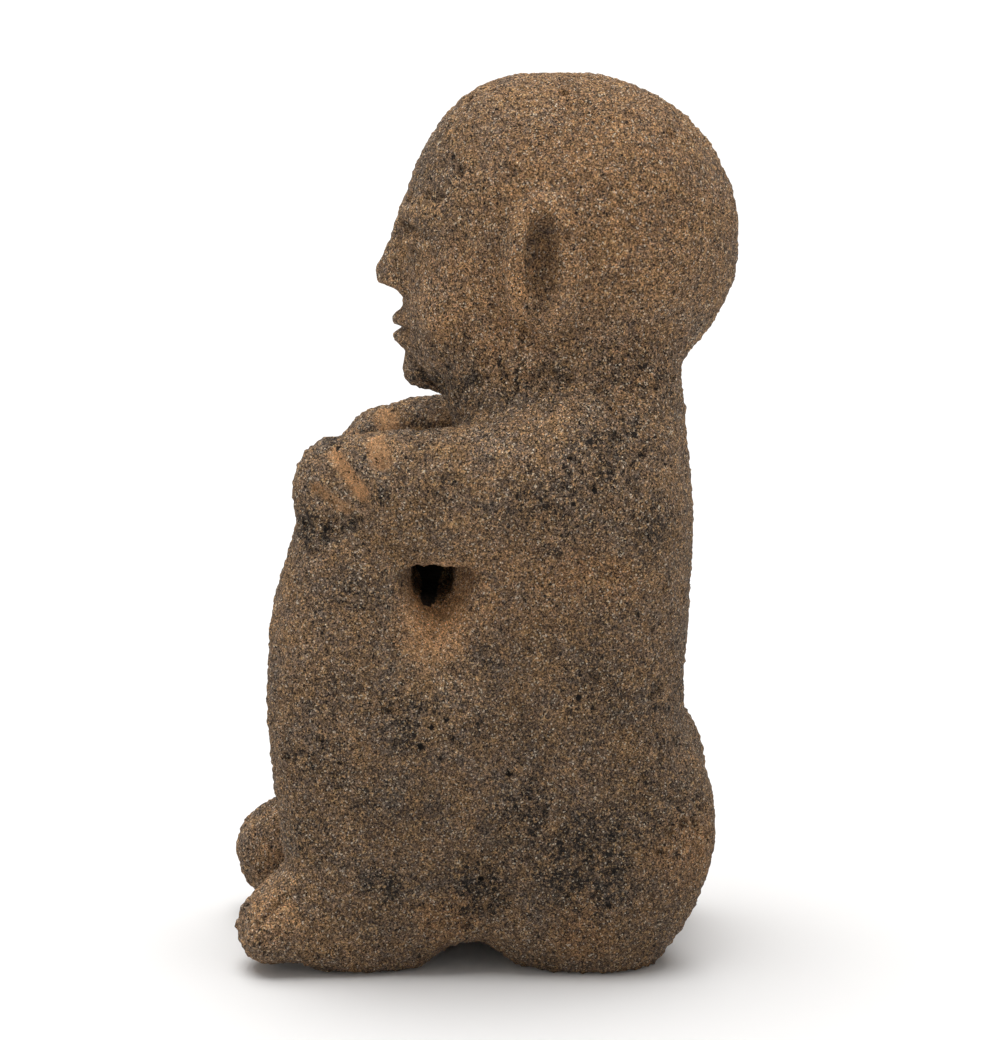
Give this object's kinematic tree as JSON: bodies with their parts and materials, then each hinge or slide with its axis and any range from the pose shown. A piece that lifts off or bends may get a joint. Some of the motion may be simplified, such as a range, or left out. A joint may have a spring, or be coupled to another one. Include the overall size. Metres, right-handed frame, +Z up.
{
  "type": "seated stone figure",
  "caption": "Carved lava-stone figure sitting with knees drawn up and arms laid over them, standing on its seat and soles.",
  "frame": {"origin": "on the ground, at the middle of the underside of the figure's box", "axes": "+Z up, -Y the way the figure faces, +X the figure's left side"},
  "size_m": [0.1502, 0.2212, 0.3797],
  "materials": {
    "lava_stone": "matte, porous, weathered brown-grey andesite"
  },
  "bodies": {
    "root": {"seated_figure": "lava_stone"}
  },
  "joints": []
}
